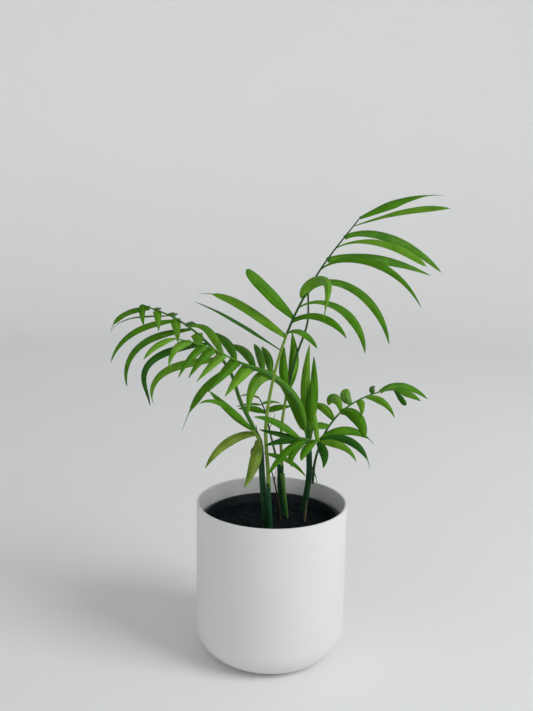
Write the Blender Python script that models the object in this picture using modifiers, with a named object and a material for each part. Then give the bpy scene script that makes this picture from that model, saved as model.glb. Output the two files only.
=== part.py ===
# Parlour palm: a young clump of three canes, standing in its black nursery pot
# inside a plain white cover pot. Sizes and places are millimetres, and headings
# are degrees round the upright from +X, with -Y towards the viewer. The origin
# is the middle of the cover pot's flat underside.

import math

import bmesh
import bpy
from mathutils import Vector
from mathutils.bvhtree import BVHTree

MM = 0.001
GAP = 0.3                  # clearance between neighbouring solids

# Cover pot
POT_RADIUS = 75.0
POT_HEIGHT = 158.0
POT_WALL = 2.5
POT_FLOOR = 4.0
POT_FOOT_ROUND = 30.0
POT_RIM_ROUND = 1.0

# Nursery pot inside it, and the potting mix
LINER_TOP_RADIUS = 67.0
LINER_FOOT_RADIUS = 45.0
LINER_TOP = 142.0
LINER_WALL = 1.2
LINER_LIP = 2.4
SOIL_TOP = 134.0

# Leaflets
LEAF_SIDES = (0.0, 0.12, 0.32, 0.55, 0.78, 0.92)
LEAF_THICKNESS = 0.012     # share of its length
LEAF_LEAST = 0.8
LEAF_FACE = (270, 35)      # heading and rise that an upper face looks to
FACE_UP = (270, 80)
ROOT_CLEAR = 2.0           # from the start of a frond to its first leaflet
ROUTE_STEPS = 6

# Stems: the middle line from the flat cut at the soil, then the radius at the foot and at the tip
STEMS = {
    "stem_left": ([(-7, -12, 138), (-10, -15, 180), (-12, -16, 220)], 4.4, 2.8),
    "stem_middle": ([(13, 24, 138), (9, 17, 163), (8, 10, 191)], 4.0, 3.5),
    "stem_right": ([(34, 32, 138), (38, 26, 180), (36, 22, 216)], 3.2, 3.0),
    "sheath_middle": ([(16, 14, 138), (13, 9, 160), (10, 5, 184)], 0.9, 2.4),
    "dry_sheath": ([(34, 9, 137), (36, 18, 152)], 2.2, 0.6),
    "dead_stalk": ([(9, 8, 138), (5, 1, 165), (-1, -4, 191)], 1.2, 0.6),
}

# Routes of the fronds from the stem to the last leaflet, the share of the route
# that is bare petiole, and the radius at the petiole's foot and at the frond's tip
FRONDS = {
    "tall": ([(-1.5, -18, 138), (-4, -22, 190), (-7, -25, 245), (-1, -24, 287), (14, -16, 337),
              (42, 0, 389), (80, 20, 438)], 0.47, 2.2, 0.6),
    "left": ([(-12.1, -16, 220.4), (-12.4, -16, 223), (-18, -12, 234), (-33, 3, 260), (-43, 12, 286),
              (-66, 24, 312), (-95, 38, 332), (-136, 56, 346)], 0.35, 2.3, 0.6),
    "arch": ([(34.2, 22.1, 216.6), (34.1, 22, 219), (32, 20, 230), (27, 15, 250), (16, 7, 269),
              (1, -3, 286), (-35, -18, 303), (-65, -32, 320), (-92, -42, 328)], 0.42, 1.2, 0.7),
    "low": ([(-11, -20.4, 219), (-15, -25, 231), (-20, -32, 240)], 0, 1.5, 1.0),
    "crossing": ([(-8.0, -16.8, 212), (-2, -14, 209), (6, -9, 204)], 0, 0.8, 0.5),
    "small": ([(5.7, 12, 191.9), (5.6, 12, 194), (3, 14, 202), (-3, 28, 221), (-8, 55, 235),
               (-15, 88, 242)], 0.6, 1.2, 0.6),
    "slender": ([(9.4, 8.8, 191.5), (9.4, 8.7, 195), (8, 8, 219), (12, 12, 259), (22, 16, 303),
                 (32, 18, 336), (32, 18, 364)], 0.4, 1.6, 0.5),
    "spear": ([(37.5, 23, 216.8), (37.5, 23, 219), (36, 24, 230), (34.5, 28, 262)], 0, 1.3, 1.8),
    "right": ([(41.8, 24.6, 168), (43, 21, 190), (46, 15, 207), (54, 15, 228), (67, 20, 244), (86, 30, 255),
               (114, 40, 263), (127, 46, 263)], 0.42, 1.4, 0.6),
    "fan": ([(36.5, 18.3, 214.5), (40, 6, 219), (45, -8, 222), (38, -24, 228), (30, -36, 233),
             (24, -46, 236)], 0.38, 1.3, 0.7),
}
PETIOLE_SWELL = {"arch": 4.2}      # widest radius of a petiole that its folded leaflets still hug

# Material colours
COLOURS = {
    "pot_white": (0.80, 0.80, 0.79),
    "liner_black": (0.01, 0.012, 0.012),
    "soil": (0.02, 0.014, 0.009),
    "stem_green": (0.03, 0.10, 0.025),
    "petiole_green": (0.16, 0.30, 0.035),
    "leaf_green": (0.06, 0.20, 0.02),
    "dry_brown": (0.22, 0.13, 0.05),
}


def leaf(station, heading, turn, rise, fall, length, width, ease=1.0, face=LEAF_FACE):
    """One leaflet: its station on the frond, its heading at the root and at the tip,
    its rise at the root and at the tip, then its length and width."""
    return (station, heading, turn, rise, fall, length, width, face, ease)


LEAFLETS = {
    "tall": [
        leaf(0.14, 195, 210, 35, 20, 97, 5, 2.0, FACE_UP),
        leaf(0.22, 170, 160, 35, -15, 97, 9, 3.0),
        leaf(0.33, 205, 205, 45, 40, 68, 12, 2.0),
        leaf(0.23, 50, 30, 50, -60, 47, 7, 0.5),
        leaf(0.31, -25, -25, 35, -60, 63, 8),
        leaf(0.39, 10, 20, 40, -85, 99, 9, 0.7),
        leaf(0.45, 40, -130, 130, -85, 89, 9, 0.5),
        leaf(0.47, 45, -5, 75, -80, 126, 9, 0.5),
        leaf(0.63, -10, -30, 45, -60, 116, 8, 0.7),
        leaf(0.70, 20, 10, 15, -25, 111, 10, 0.7),
        leaf(0.78, -10, -20, 35, -40, 93, 8, 0.7),
        leaf(0.86, 20, 10, 35, -45, 114, 10, 0.5),
        leaf(0.94, -20, -20, 20, -5, 94, 7, 2.0),
        leaf(1.00, 10, 10, 25, -5, 88, 9, 2.0),
    ],
    "left": [
        leaf(0.08, 180, 195, -25, -75, 82, 8, 0.7),
        leaf(0.18, 165, 150, -10, -125, 106, 9, 3.0),
        leaf(0.34, 155, 380, -10, -85, 116, 8, 2.0),
        leaf(0.52, 165, 145, -10, -110, 113, 8, 2.0),
        leaf(0.65, 180, 165, -5, -75, 90, 7, 1.5),
        leaf(0.74, 150, 160, -5, -50, 79, 5, 3.0, FACE_UP),
        leaf(0.93, 170, 160, -10, -80, 55, 7, 2.0),
        leaf(0.47, -70, -80, -30, -25, 28, 11, 0.7),
        leaf(0.69, -70, -80, -45, -45, 31, 10, 0.7),
        leaf(0.86, -75, -80, -45, -40, 27, 8, 0.7),
        leaf(1.00, -90, -65, -50, -45, 27, 7),
        leaf(0.56, 75, 95, 25, -40, 34, 9),
        leaf(0.74, 75, 100, 20, -40, 30, 9),
        leaf(0.88, 80, 110, 15, -40, 26, 8),
    ],
    "arch": [
        leaf(0.02, 185, 255, 45, -90, 57, 11, 0.5),
        leaf(0.26, 230, 240, -25, -30, 47, 10, 0.5),
        leaf(0.40, 235, 235, -25, -30, 49, 10),
        leaf(0.54, 235, 235, -20, -30, 44, 9, 0.5),
        leaf(0.65, 230, 245, -25, -35, 43, 9),
        leaf(0.73, 220, 245, -25, -45, 44, 8),
        leaf(0.86, 195, 270, 5, -55, 40, 8, 0.7),
        leaf(1.00, 200, 215, -5, -55, 36, 6),
        leaf(0.06, 90, 120, 25, 20, 47, 8, 1.5),
        leaf(0.14, 95, 115, 20, 20, 50, 8, 2.0),
        leaf(0.23, 105, 140, 25, 0, 52, 9, 1.5),
        leaf(0.42, 100, 135, 30, 10, 55, 9),
        leaf(0.55, 120, 170, 35, -35, 61, 8, 3.0),
    ],
    "low": [
        leaf(1.00, 180, 195, 40, 45, 57, 8, 0.5),
        leaf(0.96, 215, 230, 45, -20, 75, 6, 3.0),
        leaf(0.71, 195, 235, 10, -45, 65, 9, 0.7),
        leaf(0.30, 260, 235, -55, -40, 51, 11),
    ],
    "crossing": [
        leaf(0.00, 15, 15, 0, -55, 50, 5, 0.7),
    ],
    "small": [
        leaf(0.05, 165, 175, 25, -15, 30, 7),
        leaf(0.50, 150, 165, 10, -30, 32, 8, face=FACE_UP),
        leaf(1.00, 120, 135, 10, -30, 42, 8, face=FACE_UP),
        leaf(0.12, 10, 5, 25, -5, 28, 7),
        leaf(0.60, 60, 40, 10, -30, 34, 8, face=FACE_UP),
    ],
    "slender": [
        leaf(0.04, 230, 230, 65, 100, 47, 8),
        leaf(0.09, 40, 40, 50, 105, 56, 8, 0.5),
        leaf(0.16, 20, 20, 62, 95, 34, 6, 0.6),
    ],
    "spear": [
        leaf(0.16, 165, 165, 75, 100, 88, 8),
        leaf(0.26, 65, 65, 75, 100, 71, 7),
    ],
    "right": [
        leaf(0.01, 225, 245, 20, -20, 31, 8, 1.5),
        leaf(0.10, 120, 160, 30, -40, 34, 8, 3.0),
        leaf(0.23, 110, 115, 55, -90, 39, 9, 1.5),
        leaf(0.38, 105, 60, 10, 20, 36, 11, 2.0),
        leaf(0.68, 95, 60, 30, -10, 22, 6),
        leaf(0.21, -20, -65, 60, -70, 46, 10, 0.5),
        leaf(0.51, -80, -105, -25, -25, 28, 8),
        leaf(0.59, -30, -60, 10, -55, 42, 8),
        leaf(0.78, 35, 15, 35, -45, 64, 8, 0.7),
        leaf(0.97, -50, -60, -30, -40, 22, 6),
        leaf(1.00, 10, 5, -10, -40, 30, 8),
    ],
    "fan": [
        leaf(0.00, 15, 0, 45, -55, 64, 9),
        leaf(0.02, -10, -35, 35, -80, 67, 8),
        leaf(0.04, -30, -65, 10, -45, 50, 8, 1.5),
        leaf(0.06, -60, -110, -25, -30, 36, 9),
        leaf(0.13, 115, 115, 70, 85, 32, 5, 2.0),
        leaf(0.26, 235, 260, -5, -20, 40, 8),
        leaf(0.55, 190, 200, 5, -20, 44, 7, 1.5),
        leaf(0.62, 210, 210, -15, -120, 35, 8, 1.5),
        leaf(0.74, 200, 200, -15, -60, 50, 7, 0.7),
        leaf(0.97, 190, 195, 40, 0, 51, 7, 2.0),
        leaf(1.00, 170, 175, 10, 10, 39, 5),
    ],
}


def clear_scene():
    for thing in list(bpy.data.objects):
        bpy.data.objects.remove(thing, do_unlink=True)
    for group in list(bpy.data.collections):
        bpy.data.collections.remove(group)


def make_material(name, roughness):
    material = bpy.data.materials.new(name)
    material.use_nodes = True
    shader = material.node_tree.nodes["Principled BSDF"]
    shader.inputs["Base Color"].default_value = (*COLOURS[name], 1.0)
    shader.inputs["Roughness"].default_value = roughness
    shader.inputs["Metallic"].default_value = 0.0
    material.diffuse_color = (*COLOURS[name], 1.0)
    return material


def direction(heading, rise):
    """Unit vector of a heading and a rise in degrees."""
    turn, lift = math.radians(heading), math.radians(rise)
    return Vector((math.cos(lift) * math.cos(turn), math.cos(lift) * math.sin(turn), math.sin(lift)))


def smooth_route(points, steps=ROUTE_STEPS):
    """Points along a smooth cubic curve through the route's own points."""
    knots = [Vector(point) for point in points]
    spans = [(b - a).length for a, b in zip(knots, knots[1:])]
    slopes = [(b - a) / span for a, b, span in zip(knots, knots[1:], spans)]
    turns = [slopes[0]]
    for before, after, near, far in zip(slopes, slopes[1:], spans, spans[1:]):
        turns.append((before * far + after * near) / (near + far))
    turns.append(slopes[-1])
    route = []
    for a, b, leave, arrive, span in zip(knots, knots[1:], turns, turns[1:], spans):
        for step in range(steps):
            t = step / steps
            route.append(a * (1 + 2 * t) * (1 - t)**2 + b * (3 - 2 * t) * t**2
                         + (leave * (1 - t) - arrive * t) * span * t * (1 - t))
    route.append(knots[-1])
    return route


def standing_route(points):
    """A route that leaves the level soil straight up, so that its foot is a flat cut."""
    first = Vector(points[0])
    foot = Vector((first.x, first.y, SOIL_TOP + GAP))
    return [foot, *smooth_route(points)]


def lengths_along(route):
    """Distance from the start to each point of a route."""
    total = [0.0]
    for a, b in zip(route, route[1:]):
        total.append(total[-1] + (b - a).length)
    return total


def point_at(route, share):
    """The point at a share of a route's length."""
    total = lengths_along(route)
    goal = share * total[-1]
    for index in range(1, len(route)):
        if goal <= total[index] or index == len(route) - 1:
            part = (goal - total[index - 1]) / (total[index] - total[index - 1])
            return route[index - 1].lerp(route[index], part)


def cut_route(route, start, end):
    """The stretch of a route between two shares of its length."""
    total = lengths_along(route)
    inner = [p for p, s in zip(route, total) if start * total[-1] + 0.5 < s < end * total[-1] - 0.5]
    return [point_at(route, start), *inner, point_at(route, end)]


def limb(name, route, radii, group, material, sides=1):
    """A tapering limb: a bevelled curve with a radius at each point."""
    curve = bpy.data.curves.new(name, "CURVE")
    curve.dimensions = "3D"
    curve.bevel_depth = MM
    curve.bevel_resolution = sides
    curve.use_fill_caps = True
    spline = curve.splines.new("POLY")
    spline.points.add(len(route) - 1)
    for knot, place, radius in zip(spline.points, route, radii):
        knot.co = (*(place * MM), 1.0)
        knot.radius = radius
    curve.materials.append(material)
    made = bpy.data.objects.new(name, curve)
    group.objects.link(made)
    return made


def taper(route, foot, tip, swell=None):
    """A radius at each point of a route, from its foot to its tip."""
    total = lengths_along(route)
    radii = []
    for place in total:
        share = place / total[-1]
        radius = foot + (tip - foot) * share
        if swell:
            radius += (swell - (foot + tip) / 2) * math.sin(math.pi * share) ** 1.5
        radii.append(radius)
    return radii


def curve_to_mesh(made):
    """The curve object as a mesh object of triangles, with its caps welded on."""
    bpy.context.view_layer.update()
    mesh = bpy.data.meshes.new_from_object(made.evaluated_get(bpy.context.evaluated_depsgraph_get()))
    work = bmesh.new()
    work.from_mesh(mesh)
    bmesh.ops.remove_doubles(work, verts=work.verts, dist=0.00001)
    bmesh.ops.triangulate(work, faces=work.faces)
    work.to_mesh(mesh)
    work.free()
    name, group = made.name, made.users_collection[0]
    bpy.data.objects.remove(made)
    solid = bpy.data.objects.new(name, mesh)
    group.objects.link(solid)
    return solid


def leaf_line(root, shape):
    """A leaflet's middle line: its heading and rise turn from the root's to the tip's."""
    _, heading, turn, rise, fall, length, _, _, ease = shape
    place = root.copy()
    line = [place.copy()]
    steps = 24
    for step in range(steps):
        share = ((step + 0.5) / steps) ** ease
        ahead = direction(heading + (turn - heading) * share, rise + (fall - rise) * share)
        place += ahead * (length / steps)
        line.append(place.copy())
    return line


def leaf_width(share, width):
    """Width of a leaflet: narrow at its root, widest at two fifths, long pointed tip."""
    if share < 0.4:
        return width * (0.3 + 0.7 * math.sin(math.pi / 2 * share / 0.4))
    return width * (1 - ((share - 0.4) / 0.6) ** 1.7)


def leaflet(name, root, shape, group, material):
    """A leaflet: flat four-sided sections lofted along its middle line to a point, in triangles."""
    line = leaf_line(root, shape)
    facing = direction(*shape[7])
    length, width = shape[5], shape[6]
    thick = max(LEAF_LEAST, LEAF_THICKNESS * length)
    work = bmesh.new()
    rings = []
    for share in LEAF_SIDES:
        place = point_at(line, share)
        ahead = (point_at(line, min(share + 0.04, 1)) - point_at(line, max(share - 0.04, 0))).normalized()
        across = ahead.cross(facing).normalized()
        up = across.cross(ahead)
        half, deep = leaf_width(share, width) / 2, thick * (1 - 0.5 * share) / 2
        corners = (across * half, up * deep, -across * half, -up * deep)
        rings.append([work.verts.new((place + corner) * MM) for corner in corners])
    tip = work.verts.new(line[-1] * MM)
    work.faces.new(reversed(rings[0]))
    for low, high in zip(rings, rings[1:]):
        for side in range(4):
            after = (side + 1) % 4
            work.faces.new((low[side], low[after], high[after], high[side]))
    for side in range(4):
        work.faces.new((rings[-1][side], rings[-1][(side + 1) % 4], tip))
    bmesh.ops.recalc_face_normals(work, faces=work.faces)
    bmesh.ops.triangulate(work, faces=work.faces)
    mesh = bpy.data.meshes.new(name)
    work.to_mesh(mesh)
    work.free()
    mesh.materials.append(material)
    made = bpy.data.objects.new(name, mesh)
    group.objects.link(made)
    return made


def keep_main_body(mesh):
    """Drop loose scraps, so that the mesh is one closed body."""
    work = bmesh.new()
    work.from_mesh(mesh)
    left = set(work.verts)
    bodies = []
    while left:
        stack = [left.pop()]
        body = list(stack)
        while stack:
            for edge in stack.pop().link_edges:
                for corner in edge.verts:
                    if corner in left:
                        left.remove(corner)
                        stack.append(corner)
                        body.append(corner)
        bodies.append(body)
    main = max(bodies, key=len)
    for body in bodies:
        if body is not main:
            bmesh.ops.delete(work, geom=body, context="VERTS")
    work.to_mesh(mesh)
    work.free()


def fuse(stem, pieces):
    """Join the pieces of a collection onto a stem and remove them."""
    union = stem.modifiers.new("leaflets", "BOOLEAN")
    union.operation = "UNION"
    union.operand_type = "COLLECTION"
    union.collection = pieces
    union.solver = "MANIFOLD"
    bpy.context.view_layer.update()
    mesh = bpy.data.meshes.new_from_object(stem.evaluated_get(bpy.context.evaluated_depsgraph_get()))
    stem.modifiers.clear()
    stem.data = mesh
    keep_main_body(mesh)
    for piece in list(pieces.objects):
        bpy.data.objects.remove(piece)
    bpy.data.collections.remove(pieces)


def turned(name, profile, group, material, segments=64):
    """A turned shape: a closed profile of (radius, height) and a Screw modifier."""
    mesh = bpy.data.meshes.new(name)
    corners = [(radius * MM, 0, height * MM) for radius, height in profile]
    mesh.from_pydata(corners, [(i, i + 1) for i in range(len(corners) - 1)], [])
    mesh.materials.append(material)
    made = bpy.data.objects.new(name, mesh)
    group.objects.link(made)
    screw = made.modifiers.new("turn", "SCREW")
    screw.steps = segments
    screw.render_steps = segments
    screw.use_merge_vertices = True
    screw.merge_threshold = 0.00001
    mesh.shade_smooth()
    return made


def arc(centre, radius, start, end, steps):
    """Points of an arc about (radius, height), in degrees from the outward side."""
    points = []
    for step in range(steps + 1):
        angle = math.radians(start + (end - start) * step / steps)
        points.append((centre[0] + radius * math.cos(angle), centre[1] + radius * math.sin(angle)))
    return points


def make_pot(group, material):
    """A straight-sided cover pot with a round foot edge and a flat underside."""
    rim = POT_RIM_ROUND
    foot = (POT_RADIUS - POT_FOOT_ROUND, POT_FOOT_ROUND)
    inner_round = POT_FOOT_ROUND - POT_WALL
    inner_foot = (foot[0], POT_FLOOR + inner_round)
    inner = POT_RADIUS - POT_WALL
    profile = arc((inner + rim, POT_HEIGHT - rim), rim, 180, 90, 2)
    profile += arc((POT_RADIUS - rim, POT_HEIGHT - rim), rim, 90, 0, 2)
    profile += arc(foot, POT_FOOT_ROUND, 0, -90, 6)
    outline = [(0, POT_FLOOR), *arc(inner_foot, inner_round, -90, 0, 6), *profile, (0, 0)]
    return turned("pot", outline, group, material, 48)


def make_liner(group, material):
    """The nursery pot: a thin tapered tub with a rolled lip, on the cover pot's floor."""
    foot = POT_FLOOR + GAP
    top, wall = LINER_TOP_RADIUS, LINER_WALL
    outline = [
        (0, foot + wall),
        (LINER_FOOT_RADIUS - wall, foot + wall),
        (top - wall, LINER_TOP),
        (top + LINER_LIP - wall, LINER_TOP),
        (top + LINER_LIP - wall, LINER_TOP - 4),
        (top - 0.8, LINER_TOP - 4.6),
        (LINER_FOOT_RADIUS, foot),
        (0, foot),
    ]
    return turned("nursery_pot", outline, group, material, 48)


def make_soil(group, material):
    """The potting mix, filling the nursery pot to a level top."""
    foot = POT_FLOOR + GAP + LINER_WALL + GAP
    inner_foot = LINER_FOOT_RADIUS - LINER_WALL - 2 * GAP
    slope = (LINER_TOP_RADIUS - LINER_FOOT_RADIUS) / (LINER_TOP - POT_FLOOR)
    inner_top = inner_foot + slope * (SOIL_TOP - foot) - GAP
    outline = [(0, SOIL_TOP), (inner_top, SOIL_TOP), (inner_foot, foot), (0, foot)]
    return turned("soil", outline, group, material, 48)


def leaf_clears(made, others):
    """Whether a leaflet keeps clear of the solids of the other fronds."""
    mesh = made.data
    tree = BVHTree.FromPolygons([v.co for v in mesh.vertices], [p.vertices for p in mesh.polygons])
    return not any(tree.overlap(other) for other in others)


def tree_of(made):
    """A search tree over a finished solid."""
    bpy.context.view_layer.update()
    mesh = made.evaluated_get(bpy.context.evaluated_depsgraph_get()).to_mesh()
    corners = [vertex.co.copy() for vertex in mesh.vertices]
    return BVHTree.FromPolygons(corners, [tuple(face.vertices) for face in mesh.polygons])


def make_frond(name, group, stem_material, leaf_material, others):
    """A petiole, and 0.3 mm past its tip the frond: a rachis with its leaflets fused on."""
    points, bare, foot, tip = FRONDS[name]
    route = standing_route(points) if points[0][2] < SOIL_TOP + 5 else smooth_route(points)
    whole = lengths_along(route)[-1]
    split = foot + (tip - foot) * bare
    made_parts = []
    if bare:
        stalk_route = cut_route(route, 0.0, bare)
        stalk_radii = taper(stalk_route, foot, split, PETIOLE_SWELL.get(name))
        made_parts.append(limb("petiole_" + name, stalk_route, stalk_radii, group, stem_material))
        others = [*others, tree_of(made_parts[0])]
        bare += GAP / whole
    blade_route = cut_route(route, bare, 1.0)
    blade_length = lengths_along(blade_route)[-1]
    rachis = limb("frond_" + name, blade_route, taper(blade_route, split, tip), group, leaf_material)
    rachis = curve_to_mesh(rachis)
    pieces = bpy.data.collections.new("leaflets_" + name)
    bpy.context.scene.collection.children.link(pieces)
    for number, shape in enumerate(LEAFLETS[name]):
        station = (ROOT_CLEAR + shape[0] * (blade_length - ROOT_CLEAR - 0.5)) / blade_length
        root = point_at(blade_route, station)
        made = leaflet(f"{name}_{number}", root, shape, pieces, leaf_material)
        if not leaf_clears(made, others):
            print("skipped", made.name)
            bpy.data.objects.remove(made)
    fuse(rachis, pieces)
    return [*made_parts, rachis]


clear_scene()
palm = bpy.data.collections.new("parlour_palm")
bpy.context.scene.collection.children.link(palm)
pot_white = make_material("pot_white", 0.45)
liner_black = make_material("liner_black", 0.5)
soil_brown = make_material("soil", 0.95)
stem_green = make_material("stem_green", 0.5)
petiole_green = make_material("petiole_green", 0.5)
leaf_green = make_material("leaf_green", 0.45)
dry_brown = make_material("dry_brown", 0.9)

make_pot(palm, pot_white)
make_liner(palm, liner_black)
make_soil(palm, soil_brown)

solids = []
for stem_name, (stem_points, stem_foot, stem_tip) in STEMS.items():
    stem_route = standing_route(stem_points)
    finish = dry_brown if stem_name.startswith("d") else stem_green
    stem_radii = taper(stem_route, stem_foot, stem_tip)
    solids.append(tree_of(limb(stem_name, stem_route, stem_radii, palm, finish, 2)))

for frond_name in FRONDS:
    parts = make_frond(frond_name, palm, petiole_green, leaf_green, solids)
    solids.extend(tree_of(part) for part in parts)
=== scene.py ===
# Parlour palm: a young clump of three canes, still in the black tub it was raised in,
# stood inside a plain white cover pot. The script dresses the plain solids and follows the
# plant as it is put together: pot, tub, potting mix, canes, then each frond from the cane out.
# Sizes and places are millimetres in the frame of the solids until a mesh is made of them.

import math
import random

import bmesh
import bpy
from mathutils import Matrix, Vector, noise


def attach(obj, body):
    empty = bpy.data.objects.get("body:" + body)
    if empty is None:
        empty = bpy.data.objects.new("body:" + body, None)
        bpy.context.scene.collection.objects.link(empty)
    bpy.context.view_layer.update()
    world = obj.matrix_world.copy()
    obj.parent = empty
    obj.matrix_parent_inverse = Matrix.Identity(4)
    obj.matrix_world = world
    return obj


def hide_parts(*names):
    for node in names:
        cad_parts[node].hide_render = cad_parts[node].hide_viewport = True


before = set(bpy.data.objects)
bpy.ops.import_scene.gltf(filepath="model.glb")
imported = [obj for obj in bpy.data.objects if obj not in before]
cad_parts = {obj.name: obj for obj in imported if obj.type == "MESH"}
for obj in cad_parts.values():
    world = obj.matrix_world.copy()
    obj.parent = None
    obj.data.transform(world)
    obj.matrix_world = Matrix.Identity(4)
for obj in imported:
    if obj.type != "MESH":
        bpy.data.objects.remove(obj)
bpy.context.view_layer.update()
MM = 0.001

# Camera. A hand-held view from the height of the topmost leaflets, looking a little down
# and a touch off level, with the plant upright in a portrait frame.
EYE = Vector((-7.68, -808.2, 459.65)) * MM
TILT_DOWN = math.radians(10.8)
ROLL = math.radians(0.93)
SENSOR_WIDTH = 36.0
LENS = 43.04
NEAREST = 10 * MM


def put(name, data):
    """A new object in the scene with this mesh, lamp or camera."""
    made = bpy.data.objects.new(name, data)
    bpy.context.scene.collection.objects.link(made)
    return made


ahead_of_eye = Vector((0, math.cos(TILT_DOWN), -math.sin(TILT_DOWN)))
level_right = Vector((1, 0, 0))
level_up = level_right.cross(ahead_of_eye)
eye_right = level_right * math.cos(ROLL) + level_up * math.sin(ROLL)
eye_up = level_up * math.cos(ROLL) - level_right * math.sin(ROLL)
camera = put("camera", bpy.data.cameras.new("camera"))
camera.data.sensor_width = SENSOR_WIDTH
camera.data.lens = LENS
camera.data.clip_start = NEAREST
eye_axes = Matrix((eye_right, eye_up, -ahead_of_eye)).transposed()
camera.matrix_world = Matrix.Translation(EYE) @ eye_axes.to_4x4()
bpy.context.scene.camera = camera


# Cover pot. One thin-walled straight tub in matt white enamel with a round foot edge, cast
# in one piece and rubbed smooth, its rim a narrow rolled edge.
class Wire:
    """A socket of a node tree. Sums on it add Math nodes, so that a rule reads as plain Python."""

    def __init__(self, bench, socket):
        self.bench = bench
        self.socket = socket

    def out(self, name):
        """Another output of the same node."""
        return self.bench.outlet(self.socket.node, name)

    def maths(self, operation, *others):
        """This value put through a Math node, with any others after it."""
        return self.bench.maths(operation, self, *others)

    def __add__(self, other):
        return self.maths("ADD", other)

    def __sub__(self, other):
        return self.maths("SUBTRACT", other)

    def __rsub__(self, other):
        return self.bench.maths("SUBTRACT", other, self)

    def __mul__(self, other):
        return self.maths("MULTIPLY", other)

    def __truediv__(self, other):
        return self.maths("DIVIDE", other)

    def __rtruediv__(self, other):
        return self.bench.maths("DIVIDE", other, self)

    def __pow__(self, other):
        return self.maths("POWER", other)

    def __neg__(self):
        return self.maths("MULTIPLY", -1)

    __radd__ = __add__
    __rmul__ = __mul__


class Bench:
    """A node tree on which nodes are placed and joined up."""

    def __init__(self, tree):
        self.tree = tree

    def outlet(self, node, name=0):
        if isinstance(name, int):
            return Wire(self, node.outputs[name])
        return Wire(self, next(s for s in node.outputs if s.name == name and s.enabled))

    def add(self, kind, settings=None, sockets=None, out=0):
        """A node of this kind: its settings first, then the values or wires of its sockets."""
        node = self.tree.nodes.new(kind)
        for name, value in (settings or {}).items():
            setattr(node, name, value)
        for key, value in (sockets or {}).items():
            if isinstance(key, int):
                slot = node.inputs[key]
            else:
                slot = next(s for s in node.inputs if s.name == key and s.enabled)
            if isinstance(value, Wire):
                self.tree.links.new(value.socket, slot)
            else:
                slot.default_value = value
        return self.outlet(node, out)

    def maths(self, operation, *values):
        return self.add("ShaderNodeMath", {"operation": operation}, dict(enumerate(values)))

    def vector(self, operation, *values):
        return self.add("ShaderNodeVectorMath", {"operation": operation}, dict(enumerate(values)))

    def blend(self, share, low, high):
        """A colour between two others."""
        return self.add("ShaderNodeMix", {"data_type": "RGBA"}, {
            "Factor": share, "A": (*low, 1), "B": (*high, 1)}, "Result")

    def noise(self, place, scale, detail, roughness=0.5):
        """A soft random pattern over a place."""
        return self.add("ShaderNodeTexNoise", None, {
            "Vector": place, "Scale": scale, "Detail": detail, "Roughness": roughness})

    def bump(self, height, strength, depth):
        """The tilt that a shallow relief gives a surface, its depth in millimetres."""
        return self.add("ShaderNodeBump", None, {
            "Strength": strength, "Distance": depth * MM, "Height": height})


def paint(name, colour, roughness, **fixed):
    """A new material with the values that are the same all over, its bench and a place on it."""
    material = bpy.data.materials.new(name)
    material.use_nodes = True
    material.diffuse_color = (*colour, 1)
    shader = material.node_tree.nodes["Principled BSDF"]
    shader.inputs["Base Color"].default_value = (*colour, 1)
    shader.inputs["Roughness"].default_value = roughness
    for label, value in fixed.items():
        shader.inputs[label.replace("_", " ")].default_value = value
    bench = Bench(material.node_tree)
    return material, bench, bench.add("ShaderNodeTexCoord", out="Object")


def feed(bench, **wires):
    """Joins what changes over the surface to the shader's sockets."""
    shader = bench.tree.nodes["Principled BSDF"]
    for label, wire in wires.items():
        bench.tree.links.new(wire.socket, shader.inputs[label.replace("_", " ")])


WELD = 0.01 * MM
SHORTEST_EDGE = 0.001 * MM


def chain(name, corners):
    """A mesh of corners joined one to the next."""
    mesh = bpy.data.meshes.new(name)
    mesh.from_pydata(corners, [(i, i + 1) for i in range(len(corners) - 1)], [])
    return mesh


def turned(name, outline, material, segments):
    """A turned piece from its outline of (radius, height), as a plain mesh."""
    made = put(name, chain(name, [(radius * MM, 0, height * MM) for radius, height in outline]))
    made.data.materials.append(material)
    screw = made.modifiers.new("turn", "SCREW")
    screw.steps = segments
    screw.render_steps = segments
    screw.use_merge_vertices = True
    screw.merge_threshold = WELD
    return settle(made)


def settle(made):
    """Runs an object's modifiers into a plain mesh, joins its seams and turns its faces outwards."""
    bpy.context.view_layer.update()
    mesh = bpy.data.meshes.new_from_object(made.evaluated_get(bpy.context.evaluated_depsgraph_get()))
    made.modifiers.clear()
    work = bmesh.new()
    work.from_mesh(mesh)
    bmesh.ops.remove_doubles(work, verts=work.verts, dist=WELD)
    bmesh.ops.dissolve_degenerate(work, dist=SHORTEST_EDGE, edges=work.edges)
    bmesh.ops.recalc_face_normals(work, faces=work.faces)
    work.to_mesh(mesh)
    work.free()
    mesh.shade_smooth()
    made.data = mesh
    return made


def arc(centre, radius, start, end, steps):
    """Points of an arc about (radius, height), in degrees from the outward side."""
    points = []
    for step in range(steps + 1):
        angle = math.radians(start + (end - start) * step / steps)
        points.append((centre[0] + radius * math.cos(angle), centre[1] + radius * math.sin(angle)))
    return points


def stand(piece, slot, *nodes):
    """The piece belongs to the plant and stands for these solids, which it hides; the slot is not used."""
    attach(piece, "root")
    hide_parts(*nodes)


POT_RADIUS = 75.0
POT_HEIGHT = 158.0
POT_WALL = 2.5
POT_FLOOR = 4.0
POT_FOOT_ROUND = 30.0
POT_RIM_ROUND = 1.0
POT_ROWS = 6
POT_WHITE = (0.70, 0.705, 0.70)
POT_GREY = (0.655, 0.66, 0.65)

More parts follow.
